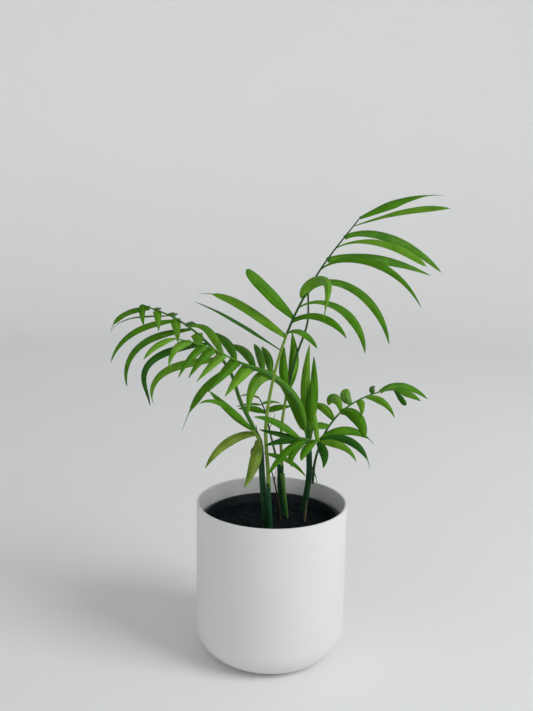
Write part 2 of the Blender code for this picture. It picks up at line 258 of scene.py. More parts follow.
white_enamel, bench, place = paint("white_enamel", POT_WHITE, 0.42, Specular_IOR_Level=0.45)
cloud = bench.noise(place, scale=22.0, detail=3.0)
grain = bench.noise(place, scale=900.0, detail=2.0)
scuff = bench.noise(place, scale=160.0, detail=6.0, roughness=0.7)
feed(bench, Base_Color=bench.blend(cloud * 0.8 + scuff * 0.2, POT_WHITE, POT_GREY),
     Roughness=scuff * 0.16 + 0.36, Normal=bench.bump(grain, strength=0.12, depth=0.2))

inner_radius = POT_RADIUS - POT_WALL
foot_centre = (POT_RADIUS - POT_FOOT_ROUND, POT_FOOT_ROUND)
inner_round = POT_FOOT_ROUND - POT_WALL
inner_foot = (foot_centre[0], POT_FLOOR + inner_round)
rim_foot = POT_HEIGHT - POT_RIM_ROUND
straight = rim_foot - inner_foot[1]
side_rows = [(inner_radius, inner_foot[1] + straight * row / POT_ROWS) for row in range(1, POT_ROWS)]
outer_rows = [(POT_RADIUS, height) for _, height in reversed(side_rows)]
pot_outline = [(0, POT_FLOOR), *arc(inner_foot, inner_round, -90, 0, steps=16), *side_rows]
pot_outline += arc((inner_radius + POT_RIM_ROUND, rim_foot), POT_RIM_ROUND, 180, 90, steps=6)
pot_outline += arc((POT_RADIUS - POT_RIM_ROUND, rim_foot), POT_RIM_ROUND, 90, 0, steps=6)
pot_outline += [*outer_rows, *arc(foot_centre, POT_FOOT_ROUND, 0, -90, steps=18), (0, 0)]
cover_pot = turned("cover_pot", pot_outline, white_enamel, segments=160)
stand(cover_pot, "pot_white", "pot")


# Nursery tub. A thin blown tub in black plastic with a rolled lip, dropped loose into the
# cover pot; only its lip and a narrow strip of its wall show above the mix.
LINER_TOP_RADIUS = 67.0
LINER_FOOT_RADIUS = 45.0
LINER_TOP = 142.0
LINER_WALL = 1.2
LINER_LIP = 2.4
LINER_SKIRT = 4.0
SKIRT_EDGE = 0.6
SKIRT_TUCK = 0.8
LINER_CORNER = 2.0
LINER_DRAFT = 0.3
LINER_GAP = 0.3
LINER_FOOT = POT_FLOOR + LINER_GAP
BLACK_PLASTIC = (0.003, 0.006, 0.009)
DUSTY_BLACK = (0.008, 0.012, 0.014)

black_plastic, bench, place = paint("black_plastic", BLACK_PLASTIC, 0.45, Specular_IOR_Level=0.25)
dust = bench.noise(place, scale=70.0, detail=5.0, roughness=0.65)
swirl = bench.noise(place, scale=400.0, detail=2.0)
feed(bench, Base_Color=bench.blend(dust, BLACK_PLASTIC, DUSTY_BLACK), Roughness=dust * 0.3 + 0.3,
     Normal=bench.bump(swirl, strength=0.2, depth=0.3))

lip_round = LINER_LIP / 2
lip_centre = (LINER_TOP_RADIUS - LINER_WALL + lip_round, LINER_TOP - lip_round)
liner_floor = LINER_FOOT + LINER_WALL
tub_outline = [
    (0, liner_floor),
    (LINER_FOOT_RADIUS - LINER_WALL - LINER_CORNER, liner_floor),
    (LINER_FOOT_RADIUS - LINER_WALL, liner_floor + LINER_CORNER),
    *arc(lip_centre, lip_round, 180, -10, steps=8),
    (lip_centre[0] + lip_round, LINER_TOP - LINER_SKIRT),
    (LINER_TOP_RADIUS - SKIRT_TUCK, LINER_TOP - LINER_SKIRT - SKIRT_EDGE),
    (LINER_FOOT_RADIUS + LINER_DRAFT, LINER_FOOT + LINER_CORNER),
    (LINER_FOOT_RADIUS - LINER_CORNER, LINER_FOOT),
    (0, LINER_FOOT),
]
nursery_tub = turned("nursery_tub", tub_outline, black_plastic, segments=96)
stand(nursery_tub, "liner_black", "nursery_pot")


# Potting mix. Dark damp peat that fills the tub, uneven on top, with crumbs, bark chips,
# pale fibres and a few specks of grit worked into it.
SOIL_TOP = 134.0
SOIL_TOP_RADIUS = 62.9
SOIL_FOOT = LINER_FOOT + LINER_WALL + LINER_GAP
SOIL_FOOT_CLEAR = 2.6
SOIL_FOOT_RADIUS = LINER_FOOT_RADIUS - LINER_WALL - SOIL_FOOT_CLEAR
SOIL_MIDDLE = 2.0
SOIL_SINK = 0.4
SOIL_RISE = 2.6
MOUND_SIZE = 26
CLOD_SIZE = 5.5
CRUMB_SIZE = 2.4
SOIL_EDGE = 0.97
SOIL_SETTLING = 33
SOIL_RINGS = 40
SOIL_STEPS = 120
DARK_PEAT = (0.002, 0.006, 0.009)
BROWN_PEAT = (0.008, 0.013, 0.014)


def bumpy_top(x, y):
    """Height of the mix over a place on it: low mounds, then clods and crumbs."""
    mounds = noise.noise(Vector((x, y, 3)) / MOUND_SIZE) * 0.55
    clods = noise.noise(Vector((x, y, 9)) / CLOD_SIZE) * 0.35
    crumbs = noise.noise(Vector((x, y, 17)) / CRUMB_SIZE) * 0.2
    return SOIL_RISE * (mounds + (clods + crumbs))


def ring_places(radius):
    """Places round a ring about the middle."""
    angles = [math.tau * step / SOIL_STEPS for step in range(SOIL_STEPS)]
    return [(radius * math.cos(angle), radius * math.sin(angle)) for angle in angles]


damp_peat, bench, place = paint("damp_peat", DARK_PEAT, 0.9, Specular_IOR_Level=0.08)
patches = bench.noise(place, scale=60.0, detail=6.0, roughness=0.7)
crumb = bench.add("ShaderNodeTexVoronoi", None, {"Vector": place, "Scale": 420.0}, "Distance")
feed(bench, Base_Color=bench.blend(patches * 1.8 - 0.5, DARK_PEAT, BROWN_PEAT),
     Roughness=crumb * 0.3 + 0.7, Normal=bench.bump(crumb + patches, strength=0.8, depth=1.2))

work = bmesh.new()
rings = []
for number in range(SOIL_RINGS + 1):
    radius = SOIL_MIDDLE + (SOIL_TOP_RADIUS - SOIL_MIDDLE) * number / SOIL_RINGS
    settled = 1 - max(0, radius / SOIL_TOP_RADIUS - SOIL_EDGE) * SOIL_SETTLING
    ring = []
    for x, y in ring_places(radius):
        height = SOIL_TOP - SOIL_SINK + bumpy_top(x, y) * settled
        ring.append(work.verts.new((x * MM, y * MM, height * MM)))
    rings.append(ring)
rings.append([work.verts.new((x * MM, y * MM, SOIL_FOOT * MM)) for x, y in ring_places(SOIL_FOOT_RADIUS)])
for inner, outer in zip(rings, rings[1:]):
    for step in range(SOIL_STEPS):
        after = (step + 1) % SOIL_STEPS
        work.faces.new((inner[step], inner[after], outer[after], outer[step]))
work.faces.new(rings[0])
work.faces.new(reversed(rings[-1]))
bmesh.ops.recalc_face_normals(work, faces=work.faces)
mesh = bpy.data.meshes.new("potting_mix")
work.to_mesh(mesh)
work.free()
mesh.shade_smooth()
mesh.materials.append(damp_peat)
potting_mix = put("potting_mix", mesh)
stand(potting_mix, "soil", "soil")


def node_group(name, sockets):
    """A geometry tree with these named inputs, and its bench and input wires."""
    tree = bpy.data.node_groups.new(name, "GeometryNodeTree")
    tree.interface.new_socket("Geometry", in_out="INPUT", socket_type="NodeSocketGeometry")
    for label, kind in sockets.items():
        tree.interface.new_socket(label, in_out="INPUT", socket_type="NodeSocket" + kind)
    tree.interface.new_socket("Geometry", in_out="OUTPUT", socket_type="NodeSocketGeometry")
    bench = Bench(tree)
    entry = tree.nodes.new("NodeGroupInput")
    return tree, bench, {label: bench.outlet(entry, label) for label in ["Geometry", *sockets]}


def deliver(bench, geometry, finishes):
    """Ends a tree: instances made real, then each material set where its wire says so."""
    done = bench.add("GeometryNodeRealizeInstances", None, {"Geometry": geometry})
    for material, where in finishes:
        done = bench.add("GeometryNodeSetMaterial", None, {
            "Geometry": done, "Selection": where, "Material": material})
    leave = bench.tree.nodes.new("NodeGroupOutput")
    bench.tree.links.new(done.socket, leave.inputs["Geometry"])


def run_tree(made, tree, values):
    """Gives an object the tree as a modifier, with its inputs set by their identifiers."""
    modifier = made.modifiers.new(tree.name, "NODES")
    modifier.node_group = tree
    for item in tree.interface.items_tree:
        if item.item_type == "SOCKET" and item.in_out == "INPUT" and item.name in values:
            modifier[item.identifier] = values[item.name]


BIT_TILT = 0.35
LEVEL_ENOUGH = 0.5

scatter_tree, bench, given = node_group("scatter", {
    "Density": "Float", "Smallest": "Vector", "Largest": "Vector", "Seed": "Int", "Reach": "Float",
    "Material": "Material"})
spot = bench.add("GeometryNodeInputPosition")
from_middle = bench.vector("LENGTH", bench.vector("MULTIPLY", spot, (1, 1, 0))).out("Value")
upright = bench.add("ShaderNodeSeparateXYZ", None, {"Vector": bench.add("GeometryNodeInputNormal")}).out("Z")
on_top = from_middle.maths("LESS_THAN", given["Reach"]) * upright.maths("GREATER_THAN", LEVEL_ENOUGH)
places = bench.add("GeometryNodeDistributePointsOnFaces", {"distribute_method": "RANDOM"}, {
    "Mesh": given["Geometry"], "Selection": on_top, "Density": given["Density"], "Seed": given["Seed"]})
lie = bench.add("FunctionNodeRandomValue", {"data_type": "FLOAT_VECTOR"}, {
    "Min": (-BIT_TILT, -BIT_TILT, 0.0), "Max": (BIT_TILT, BIT_TILT, math.tau), "Seed": given["Seed"] + 5})
size = bench.add("FunctionNodeRandomValue", {"data_type": "FLOAT_VECTOR"}, {
    "Min": given["Smallest"], "Max": given["Largest"], "Seed": given["Seed"] + 9})
bit = bench.add("GeometryNodeMeshIcoSphere", None, {"Radius": 0.5, "Subdivisions": 1})
bits = bench.add("GeometryNodeInstanceOnPoints", None, {
    "Points": places, "Instance": bit, "Rotation": lie, "Scale": size})
deliver(bench, bits, [(given["Material"], True)])


def strew(name, material, density, smallest, largest, seed, reach):
    """A scatter of small bits on the mix, so many to a square metre, as one joined mesh."""
    made = put(name, potting_mix.data.copy())
    run_tree(made, scatter_tree, {
        "Density": density, "Smallest": tuple(side * MM for side in smallest),
        "Largest": tuple(side * MM for side in largest), "Seed": seed, "Reach": reach * MM,
        "Material": material})
    stand(settle(made), "soil", "soil")


def crumbly(name, colour, dark, roughness):
    """A dull, speckled finish, like that of bark, grit and dead stalks."""
    material, bench, place = paint(name, colour, roughness, Specular_IOR_Level=0.2)
    speckle = bench.noise(place, scale=500.0, detail=3.0)
    feed(bench, Base_Color=bench.blend(speckle * 2 - 0.5, dark, colour),
         Roughness=speckle * 0.2 + (roughness - 0.1), Normal=bench.bump(speckle, strength=0.5, depth=0.3))
    return material


bark_chip = crumbly("bark_chip", (0.036, 0.029, 0.020), (0.007, 0.008, 0.008), 0.85)
pale_fibre = crumbly("pale_fibre", (0.16, 0.125, 0.085), (0.04, 0.033, 0.025), 0.8)
grit = crumbly("grit", (0.13, 0.16, 0.17), (0.04, 0.055, 0.062), 0.8)
strew("peat_crumbs", damp_peat, density=52000.0, smallest=(1.0, 0.9, 0.7), largest=(3.6, 3.0, 2.2),
      seed=3, reach=61.5)
strew("bark_chips", bark_chip, density=9000.0, smallest=(1.6, 1.0, 0.5), largest=(5.5, 3.0, 1.2),
      seed=11, reach=60.0)
strew("pale_fibres", pale_fibre, density=2600.0, smallest=(2.5, 0.25, 0.25), largest=(8.0, 0.6, 0.5),
      seed=23, reach=59.0)
strew("grit_specks", grit, density=4200.0, smallest=(0.4, 0.4, 0.3), largest=(1.0, 0.8, 0.6),
      seed=31, reach=60.0)


# Canes. Three green stems wrapped in their old leaf sheaths, closely lined along their
# length and ringed where a leaf has fallen, rooted straight into the mix.
ROUTE_STEPS = 14
ROOTED = 1.5


def smooth_route(points):
    """Points along a smooth cubic curve through the route's own points."""
    knots = [Vector(point) for point in points]
    spans = [(b - a).length for a, b in zip(knots, knots[1:])]
    slopes = [(b - a) / span for a, b, span in zip(knots, knots[1:], spans)]
    turns = [slopes[0]]
    for before, after, near, far in zip(slopes, slopes[1:], spans, spans[1:]):
        turns.append((before * far + after * near) / (near + far))
    turns.append(slopes[-1])
    route = []
    for a, b, leave, arrive, span in zip(knots, knots[1:], turns, turns[1:], spans):
        for step in range(ROUTE_STEPS):
            t = step / ROUTE_STEPS
            route.append(a * (1 + 2 * t) * (1 - t)**2 + b * (3 - 2 * t) * t**2
                         + (leave * (1 - t) - arrive * t) * span * t * (1 - t))
    route.append(knots[-1])
    return route


def standing_route(points):
    """A route that leaves the mix straight up, its foot sunk a little into the crumbs."""
    first = Vector(points[0])
    return [Vector((first.x, first.y, SOIL_TOP - ROOTED)), *smooth_route(points)]


def lengths_along(route):
    """Distance from the start to each point of a route."""
    total = [0.0]
    for a, b in zip(route, route[1:]):
        total.append(total[-1] + (b - a).length)
    return total


def point_at(route, share):
    """The point at a share of a route's length."""
    total = lengths_along(route)
    goal = share * total[-1]
    for index in range(1, len(route)):
        if goal <= total[index] or index == len(route) - 1:
            part = (goal - total[index - 1]) / (total[index] - total[index - 1])
            return route[index - 1].lerp(route[index], part)


def taper(route, foot, tip, swell=0, bare=1):
    """A radius at each point of a route; swell, where given, is the one halfway up its bare part."""
    total = lengths_along(route)
    radii = []
    for place in total:
        share = place / total[-1]
        radius = foot + (tip - foot) * share
        if swell and share < bare:
            split = foot + (tip - foot) * bare
            radius += (swell - (foot + split) / 2) * math.sin(math.pi * share / bare) ** 1.5
        radii.append(radius)
    return radii


def held(bench, name, kind="FLOAT"):
    """An attribute that the mesh carries."""
    return bench.add("GeometryNodeInputNamedAttribute", {"data_type": kind}, {"Name": name}, "Attribute")


def hold(bench, geometry, name, value):
    """The geometry with a number kept on each of its points under this name."""
    return bench.add("GeometryNodeStoreNamedAttribute", {"data_type": "FLOAT", "domain": "POINT"}, {
        "Geometry": geometry, "Name": name, "Value": value})


def scaled(bench, vector, amount):
    """A vector made longer or shorter."""
    return bench.add("ShaderNodeVectorMath", {"operation": "SCALE"}, {"Vector": vector, "Scale": amount})


LINES_ROUND = 3.2
LINES_ALONG = 28

limb_tree, bench, given = node_group("limb", {
    "Sides": "Int", "Line depth": "Float", "Ring spacing": "Float", "Ring height": "Float",
    "Ring width": "Float", "Foot length": "Float", "Foot material": "Material", "Material": "Material"})
path = bench.add("GeometryNodeMeshToCurve", None, {"Mesh": given["Geometry"]})
path = hold(bench, path, "along", bench.add("GeometryNodeSplineParameter").out("Length"))
circle = bench.add("GeometryNodeCurvePrimitiveCircle", None, {"Resolution": given["Sides"], "Radius": 1.0})
circle = hold(bench, circle, "round", bench.add("GeometryNodeSplineParameter").out("Factor"))
tube = bench.add("GeometryNodeCurveToMesh", None, {
    "Curve": path, "Profile Curve": circle, "Scale": held(bench, "girth"), "Fill Caps": True})
along = held(bench, "along")
turn = held(bench, "round") * math.tau
lined = bench.add("ShaderNodeCombineXYZ", None, {
    "X": turn.maths("COSINE") * LINES_ROUND, "Y": turn.maths("SINE") * LINES_ROUND, "Z": along * LINES_ALONG})
lines = bench.noise(lined, scale=1.0, detail=2.0) - 0.5
off_ring = (along / given["Ring spacing"]).maths("FRACT") - 0.5
off_ring = off_ring * given["Ring spacing"] / given["Ring width"]
ring = (-(off_ring * off_ring)).maths("EXPONENT") * given["Ring height"]
relief = scaled(bench, bench.add("GeometryNodeInputNormal"), lines * given["Line depth"] + ring)
shaped = bench.add("GeometryNodeSetPosition", None, {"Geometry": tube, "Offset": relief})
lower = along.maths("LESS_THAN", given["Foot length"])
deliver(bench, shaped, [(given["Material"], True), (given["Foot material"], lower)])


def limb(name, route, radii, material, sides=20, lines=0.25, spacing=1.0, ring=0.0, width=1.0,
         foot_length=0.0, foot_material=None):
    """A tapering limb swept along its route, with fine lines along it and rings round it."""
    mesh = chain(name, [place * MM for place in route])
    girths = [radius * MM for radius in radii]
    mesh.attributes.new("girth", "FLOAT", "POINT").data.foreach_set("value", girths)
    made = put(name, mesh)
    run_tree(made, limb_tree, {
        "Sides": sides, "Line depth": lines * MM, "Ring spacing": spacing * MM, "Ring height": ring * MM,
        "Ring width": width * MM, "Foot length": foot_length * MM,
        "Foot material": foot_material or material, "Material": material})
    return settle(made)


def green_skin(name, dark, light, roughness, streak=600.0):
    """A waxy plant skin: mottled, with pale lines drawn out along the limb."""
    material, bench, place = paint(name, light, roughness, Specular_IOR_Level=0.16)
    mottle = bench.noise(place, scale=110.0, detail=4.0)
    drawn = bench.vector("MULTIPLY", place, (1.0, 1.0, 0.06))
    streaks = bench.noise(drawn, scale=streak, detail=3.0)
    feed(bench, Base_Color=bench.blend(mottle * 0.9 + streaks * 0.7 - 0.3, dark, light),
         Roughness=mottle * 0.2 + (roughness - 0.1), Normal=bench.bump(streaks, strength=0.25, depth=0.2))
    return material


cane_green = green_skin("cane_green", (0.006, 0.036, 0.018), (0.020, 0.085, 0.024), 0.42)
CANES = {
    "left": ([(-5.2, -12.5, 138), (-9.4, -15, 180), (-12, -16, 220)], 3.4, 2.8, 31.0),
    "middle": ([(13, 24, 138), (9, 17, 163), (8, 10, 191)], 2.8, 3.4, 24.0),
    "right": ([(34, 32, 138), (38, 26, 180), (36, 22, 216)], 3.2, 3.0, 27.0),
}
for cane, (points, foot, tip, spacing) in CANES.items():
    route = standing_route(points)
    made = limb("cane_" + cane, route, taper(route, foot, tip), cane_green, sides=28, lines=0.45,
                spacing=spacing, ring=0.35, width=1.1)
    stand(made, "stem_green", "stem_" + cane)


# Green sheath on the middle cane. The pointed end of a leaf sheath that has come loose and
# stands beside its cane, its foot grown to it.
route = standing_route([(16, 14, 138), (13, 9, 160), (10, 5, 184)])
sheath_green = green_skin("sheath_green", (0.040, 0.120, 0.020), (0.110, 0.230, 0.045), 0.45)
made = limb("green_sheath", route, taper(route, 0.9, 2.4), sheath_green, lines=0.4)
stand(made, "stem_green", "sheath_middle")


# Dry sheath and dead stalk. Papery brown remains of fallen leaves at the foot of the right
# cane and between the other two, left on the plant.
dry_paper, bench, place = paint("dry_paper", (0.11, 0.085, 0.035), 0.9)
fibre = bench.noise(bench.vector("MULTIPLY", place, (1.0, 1.0, 0.1)), scale=700.0, detail=4.0)
stain = bench.noise(place, scale=120.0, detail=3.0)
feed(bench, Base_Color=bench.blend(fibre * 0.8 + stain - 0.4, (0.030, 0.022, 0.010), (0.17, 0.130, 0.055)),
     Roughness=fibre * 0.15 + 0.8, Normal=bench.bump(fibre, strength=0.6, depth=0.3))
dead_brown = crumbly("dead_brown", (0.050, 0.028, 0.014), (0.016, 0.010, 0.007), 0.8)
route = standing_route([(34, 9, 137), (36, 18, 152)])
made = limb("dry_sheath", route, taper(route, 1.3, 0.3), dry_paper, sides=16, lines=0.5)
stand(made, "dry_brown", "dry_sheath")
route = standing_route([(9, 8, 138), (5, 1, 165), (-1, -4, 191)])
made = limb("dead_stalk", route, taper(route, 1.2, 0.6), dead_brown, sides=12, lines=0.5)
stand(made, "dry_brown", "dead_stalk")


# Tall frond. The oldest leaf of the left cane, its stalk yellow-green low down and darker
# above, carrying folded, long-pointed leaflets to the top of the plant.
LEAF_FACE = (270, 35)
FACE_UP = (270, 80)
NEAR_MIX = 5.0
ROOT_CLEAR = 2.0
TIP_CLEAR = 0.5
LEAF_STEPS = 26
LEAF_SIDES = 8
LEAF_WALL = 0.3
LEAF_FOLD = 0.45
LEAF_RIPPLE = 0.25
RIPPLES = 19
THREAD_WIDTH = 0.12
LEAF_WELD = 0.02 * MM


def leaf_skin(name, deep, bright, roughness):
    """The skin of a leaflet: plain green with faint clouding and fine veins along it."""
    material, bench, place = paint(name, bright, roughness, Specular_IOR_Level=0.10)
    cloud = bench.noise(place, scale=75.0, detail=3.0)
    side = bench.add("ShaderNodeAttribute", {"attribute_name": "side"}, None, "Fac")
    veins = (side * 13 + cloud * 5).maths("SINE")
    feed(bench, Base_Color=bench.blend(cloud * 1.5 + veins * 0.16 - 0.25, deep, bright),
         Roughness=cloud * 0.2 + (roughness - 0.1),
         Normal=bench.bump(veins * 0.6 + cloud, strength=0.45, depth=0.3))
    return material


# Four greens dealt out by leaflet. The dark and light greens are only partly the leaves' own tones. The dark
# green is also painted shade on leaflets turned away or tucked behind. The light green is also a painted glow
# of light through the thin blade and on lit faces. The yellow is real yellowing.
leaf_skins = {
    "Dark": leaf_skin("leaf_dark_and_painted_shade", (0.010, 0.066, 0.005), (0.032, 0.130, 0.008), 0.40),
    "Mid": leaf_skin("leaf_mid", (0.028, 0.125, 0.002), (0.085, 0.240, 0.005), 0.40),
    "Light": leaf_skin("leaf_light_and_painted_glow", (0.070, 0.210, 0.008), (0.155, 0.345, 0.024), 0.38),
    "Yellow": leaf_skin("leaf_yellow", (0.060, 0.130, 0.008), (0.205, 0.290, 0.040), 0.42),
}


def bent(bench, first, last, bend):
    """The angle between two that the mesh carries once a leaflet has bent this far, in radians."""
    return (held(bench, first) + (held(bench, last) - held(bench, first)) * bend) * math.radians(1)


def direction_of(bench, bend):
    """The way a leaflet's middle line runs once it has bent this far."""
    heading = bent(bench, "heading", "turn", bend)
    rise = bent(bench, "rise", "fall", bend)
    level = rise.maths("COSINE")
    return bench.add("ShaderNodeCombineXYZ", None, {
        "X": level * heading.maths("COSINE"), "Y": level * heading.maths("SINE"), "Z": rise.maths("SINE")})


leaflet_tree, bench, given = node_group("leaflets", {
    "Steps": "Int", "Sides": "Int", "Fold": "Float", "Ripple": "Float",
    "Dark": "Material", "Mid": "Material", "Light": "Material", "Yellow": "Material"})
sheet = bench.add("GeometryNodeMeshGrid", None, {
    "Size X": 1.0, "Size Y": 2.0, "Vertices X": given["Steps"] + 1, "Vertices Y": given["Sides"] + 1})
corner = bench.add("ShaderNodeSeparateXYZ", None, {"Vector": bench.add("GeometryNodeInputPosition")})
sheet = hold(bench, sheet, "share", corner.out("X") + 0.5)
sheet = hold(bench, sheet, "side", corner.out("Y"))
sheets = bench.add("GeometryNodeInstanceOnPoints", None, {"Points": given["Geometry"], "Instance": sheet})
sheets = bench.add("GeometryNodeRealizeInstances", None, {"Geometry": sheets})
share, side, number, ease = (held(bench, name) for name in ("share", "side", "number", "ease"))

# The middle line of a leaflet is walked step by step from its root, turning as it goes.
half_step = 0.5 / given["Steps"]
bend = (share - half_step).maths("MAXIMUM", 0.0) ** ease
stride = held(bench, "length") / given["Steps"] * share.maths("GREATER_THAN", half_step)
step = scaled(bench, direction_of(bench, bend), stride)
column = (side + 1) * given["Sides"] * 0.5
walk = number * (given["Sides"] + 1) + column
walked = bench.add("GeometryNodeAccumulateField", {"data_type": "FLOAT_VECTOR", "domain": "POINT"}, {
    "Value": step, "Group ID": walk.maths("ROUND")}, "Leading")
line = bench.vector("ADD", held(bench, "root", "FLOAT_VECTOR"), walked)
ahead = direction_of(bench, share.maths("MAXIMUM", 0.02) ** ease)
facing = held(bench, "facing", "FLOAT_VECTOR")
across = bench.vector("NORMALIZE", bench.vector("CROSS_PRODUCT", ahead, facing))
up = bench.vector("CROSS_PRODUCT", across, ahead)

# Half its width swells from the root to the widest place, then narrows to the tip or a thread.
base, widest, blunt, body = (held(bench, name) for name in ("base", "widest", "blunt", "body"))
swelling = (share / widest * (math.pi / 2)).maths("SINE")
near = base + (1 - base) * swelling ** (widest * 2.4)
tail = ((share - widest) / (body - widest)).maths("MAXIMUM", 0.0).maths("MINIMUM", 1.0)
thread = ((1 - share) * THREAD_WIDTH / (1.02 - body)).maths("MINIMUM", THREAD_WIDTH)
far = ((1 - tail ** blunt) ** blunt ** -0.5).maths("MAXIMUM", thread)
is_far = share.maths("GREATER_THAN", widest)
half = held(bench, "width") * 0.5 * (near * (1 - is_far) + far * is_far)

# Both halves fold down from the rib, and their edges ripple a little.
off_rib = side.maths("ABSOLUTE")
wave = (share * RIPPLES + number * 2.1 + side).maths("SINE")
drop = half * given["Fold"] * off_rib * -1 + wave * off_rib * given["Ripple"] * (1 - share)
out = scaled(bench, across, half * side * (1 + held(bench, "lean") * side))
lift = scaled(bench, up, drop)
shaped = bench.add("GeometryNodeSetPosition", None, {
    "Geometry": sheets, "Position": bench.vector("ADD", line, bench.vector("ADD", out, lift))})
closed = bench.add("GeometryNodeMergeByDistance", None, {"Geometry": shaped, "Distance": LEAF_WELD})
tone = held(bench, "tone")
deliver(bench, closed, [
    (given["Dark"], True),
    (given["Mid"], tone.maths("COMPARE", 1.0, 0.5)),
    (given["Light"], tone.maths("COMPARE", 2.0, 0.5)),
    (given["Yellow"], tone.maths("COMPARE", 3.0, 0.5)),
])


def direction(heading, rise):
    """Unit vector of a heading and a rise in degrees."""
    turn, lift = math.radians(heading), math.radians(rise)
    return Vector((math.cos(lift) * math.cos(turn), math.cos(lift) * math.sin(turn), math.sin(lift)))


def leaf(station, heading, turn, rise, fall, length, width, ease=1.0, face=LEAF_FACE, tone=None,
         base=0.3, widest=0.4, blunt=1.7, body=1.0, lean=0.0):
    """One leaflet: its station on the frond, its heading and its rise at the root and at the
    tip, then its length and width, how late it bends, the way it faces and its green, from 0
    for dark to 3 for yellow; the dark green is partly painted shade and the light green partly
    a painted glow of light through the leaf. Its outline: width at the root, where it is widest,
    how blunt its end is, where the blade stops and only a thread runs on, and how much fuller one half is."""
    return {"station": station, "heading": heading, "turn": turn, "rise": rise, "fall": fall,
            "length": length * MM, "width": width * MM, "ease": ease, "facing": direction(*face),
            "tone": tone, "base": base, "widest": widest, "blunt": blunt, "body": body, "lean": lean}


def grow_frond(name, points, leaflets, skin, foot, tip, tone, bare=0, swell=0, low_skin=None, low_share=0):
    """A frond: its stalk along the route, with a skin of its own low down where one is given, and
    its leaflets past the bare part of the stalk."""
    route = standing_route(points) if points[0][2] < SOIL_TOP + NEAR_MIX else smooth_route(points)
    whole = lengths_along(route)[-1]
    stalk = limb("stalk_" + name, route, taper(route, foot, tip, swell, bare), skin, sides=14, lines=0.3,
                 foot_length=whole * max(bare, low_share), foot_material=low_skin)
    stand(stalk, "petiole_green", ("petiole_" if bare else "frond_") + name)
    start = bare * whole
    blade_length = whole - start
    pick = random.Random(name)
    roots = []
    for number, shape in enumerate(leaflets):
        shape["number"] = number
        distance = start + ROOT_CLEAR + shape["station"] * (blade_length - ROOT_CLEAR - TIP_CLEAR)
        roots.append(point_at(route, distance / whole) * MM)
        if shape["tone"] is None:
            shape["tone"] = max(0, min(2, tone + pick.choice((-1, 0, 0, 0, 1))))
    mesh = bpy.data.meshes.new("leaflets_" + name)
    mesh.from_pydata(roots, [], [])
    for label in ("number", "heading", "turn", "rise", "fall", "length", "width", "ease", "tone",
                  "base", "widest", "blunt", "body", "lean"):
        values = [float(shape[label]) for shape in leaflets]
        mesh.attributes.new(label, "FLOAT", "POINT").data.foreach_set("value", values)
    for label, vectors in (("root", roots), ("facing", [shape["facing"] for shape in leaflets])):
        parts = [part for vector in vectors for part in vector]
        mesh.attributes.new(label, "FLOAT_VECTOR", "POINT").data.foreach_set("vector", parts)
    made = put("leaflets_" + name, mesh)
    run_tree(made, leaflet_tree, {
        "Steps": LEAF_STEPS, "Sides": LEAF_SIDES, "Fold": LEAF_FOLD, "Ripple": LEAF_RIPPLE * MM,
        **leaf_skins})
    wall = made.modifiers.new("wall", "SOLIDIFY")
    wall.thickness = LEAF_WALL * MM
    wall.offset = 0
    stand(settle(made), "leaf_green", "frond_" + name)


yellow_stalk = green_skin("yellow_stalk", (0.085, 0.180, 0.016), (0.200, 0.310, 0.040), 0.45)
green_stalk = green_skin("green_stalk", (0.028, 0.105, 0.012), (0.070, 0.195, 0.018), 0.45)
dark_stalk = green_skin("dark_stalk", (0.012, 0.050, 0.012), (0.030, 0.095, 0.018), 0.45)
blade_green = green_skin("blade_green", (0.026, 0.120, 0.004), (0.105, 0.290, 0.012), 0.45, streak=1100.0)

tall_route = [(-1.5, -18, 138), (-4, -22, 190), (-7, -25, 245), (-1, -24, 287), (14, -16, 337),
              (42, 0, 389), (80, 20, 438)]
tall_leaflets = [
    leaf(0.14, 195, 210, 35, 20, 97, 5, 2.0, (270, 55), tone=0, base=0.2, widest=0.5, blunt=1.3),
    leaf(0.22, 170, 160, 35, -15, 97, 9, 3.0, base=0.4, widest=0.35, blunt=3.4, body=0.84),
    leaf(0.33, 205, 205, 45, 40, 68, 12, 2.0, base=0.35, widest=0.45, blunt=4.0),
    leaf(0.23, 50, 30, 50, -60, 47, 7, 0.5, base=0.15, widest=0.55),
    leaf(0.31, -25, -25, 35, -60, 63, 8, base=0.5, widest=0.6, blunt=1.4),
    leaf(0.39, 10, 20, 40, -85, 99, 9, 0.7, base=0.15, widest=0.62, blunt=1.4),
    leaf(0.45, 40, -130, 130, -85, 95, 9, 0.5, tone=2, base=0.6, widest=0.3, blunt=1.6, body=0.86),
    leaf(0.47, 45, -5, 75, -80, 126, 9, 0.5, base=0.5, widest=0.6, blunt=1.4),
    leaf(0.63, -10, -30, 45, -60, 116, 8, 0.7, base=0.12, widest=0.5, blunt=1.2, lean=-0.3),
    leaf(0.70, 20, 10, 15, -25, 111, 10, 0.7, base=0.6, widest=0.55, blunt=1.2),
    # This leaflet takes the light green partly as a painted highlight.
    leaf(0.78, -10, -20, 35, -40, 93, 8, 0.7, tone=2, base=0.12, widest=0.65, blunt=2.5),
    leaf(0.86, 20, 10, 35, -45, 114, 10, 0.5, tone=1, base=0.45, widest=0.5, blunt=1.8),
    leaf(0.94, -20, -20, 20, -5, 94, 7, 2.0, base=0.15, widest=0.75, blunt=1.5),
    leaf(1.00, 10, 10, 25, -5, 88, 9, 2.0, base=0.25, widest=0.42, blunt=1.1, body=0.85),
]
grow_frond("tall", tall_route, tall_leaflets, dark_stalk, foot=2.2, tip=0.6, tone=1, bare=0.47,
           low_skin=yellow_stalk, low_share=0.6)
route = standing_route([(-1.5, -18, 138), (-2.6, -19.8, 160), (-4, -21.6, 184)])
made = limb("sheath_tall", route, taper(route, 2.6, 2.1), cane_green, lines=0.35)
stand(made, "stem_green", "petiole_tall")

